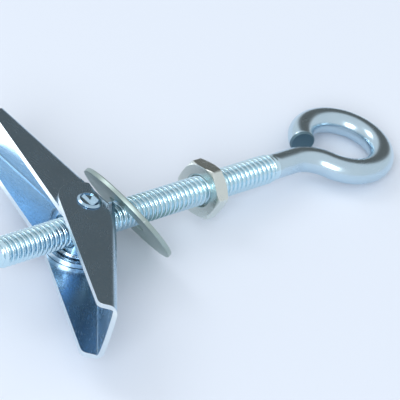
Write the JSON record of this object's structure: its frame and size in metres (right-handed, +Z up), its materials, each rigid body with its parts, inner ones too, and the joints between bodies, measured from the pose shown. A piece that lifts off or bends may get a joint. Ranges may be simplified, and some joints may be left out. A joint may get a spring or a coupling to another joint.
{
  "type": "spring toggle bolt",
  "caption": "Spring toggle bolt: a threaded rod bent into a closed eye, with a hex nut, a loose washer and sprung channel wings that fold for passing through a drilled hole.",
  "frame": {"origin": "middle of the part's footprint, on the surface it lies on", "axes": "+X towards the eye, +Z up from the surface, +Y towards the inner wing"},
  "size_m": [0.1118, 0.0632, 0.0202],
  "materials": {
    "rod_zinc": "bright blue-passivated zinc, smooth",
    "wing_zinc": "blue-passivated zinc on rolled sheet, satin with a fine grain",
    "washer_zinc": "dull zinc, semi-matt",
    "nut_zinc": "bright zinc",
    "spring_steel": "bright drawn wire"
  },
  "bodies": {
    "bolt": {"eye_bolt": "rod_zinc"},
    "trunnion": {"trunnion_nut": "nut_zinc", "torsion_spring": "spring_steel"},
    "outer_wing": {"wing_outer": "wing_zinc"},
    "inner_wing": {"wing_inner": "wing_zinc"},
    "loose_washer": {"washer": "washer_zinc"},
    "nut": {"hex_nut": "nut_zinc"}
  },
  "joints": [
    {"name": "toggle_travel", "type": "slide", "parent": "bolt", "child": "trunnion", "axis": [0.9949, 0, -0.1006], "range_m": [-0.014, 0]},
    {"name": "outer_wing_fold", "type": "hinge", "parent": "trunnion", "child": "outer_wing", "pos_m": [-0.03275, -0.00222, 0.01144], "axis": [-0.1006, 0, -0.9949], "range_deg": [-41.3, 45.7], "stiffness_Nm_per_rad": 0.01, "deforming": ["torsion_spring"]},
    {"name": "inner_wing_fold", "type": "hinge", "parent": "trunnion", "child": "inner_wing", "pos_m": [-0.03275, -0.00222, 0.01144], "axis": [0.1006, 0, 0.9949], "range_deg": [0, 86.5], "stiffness_Nm_per_rad": 0.01, "deforming": ["torsion_spring"]},
    {"name": "washer_travel", "type": "slide", "parent": "bolt", "child": "loose_washer", "axis": [0.9949, 0, -0.1006], "range_m": [0, 0.012]},
    {"name": "nut_travel", "type": "slide", "parent": "bolt", "child": "nut", "axis": [0.9949, 0, -0.1006], "range_m": [0, 0.018]}
  ]
}
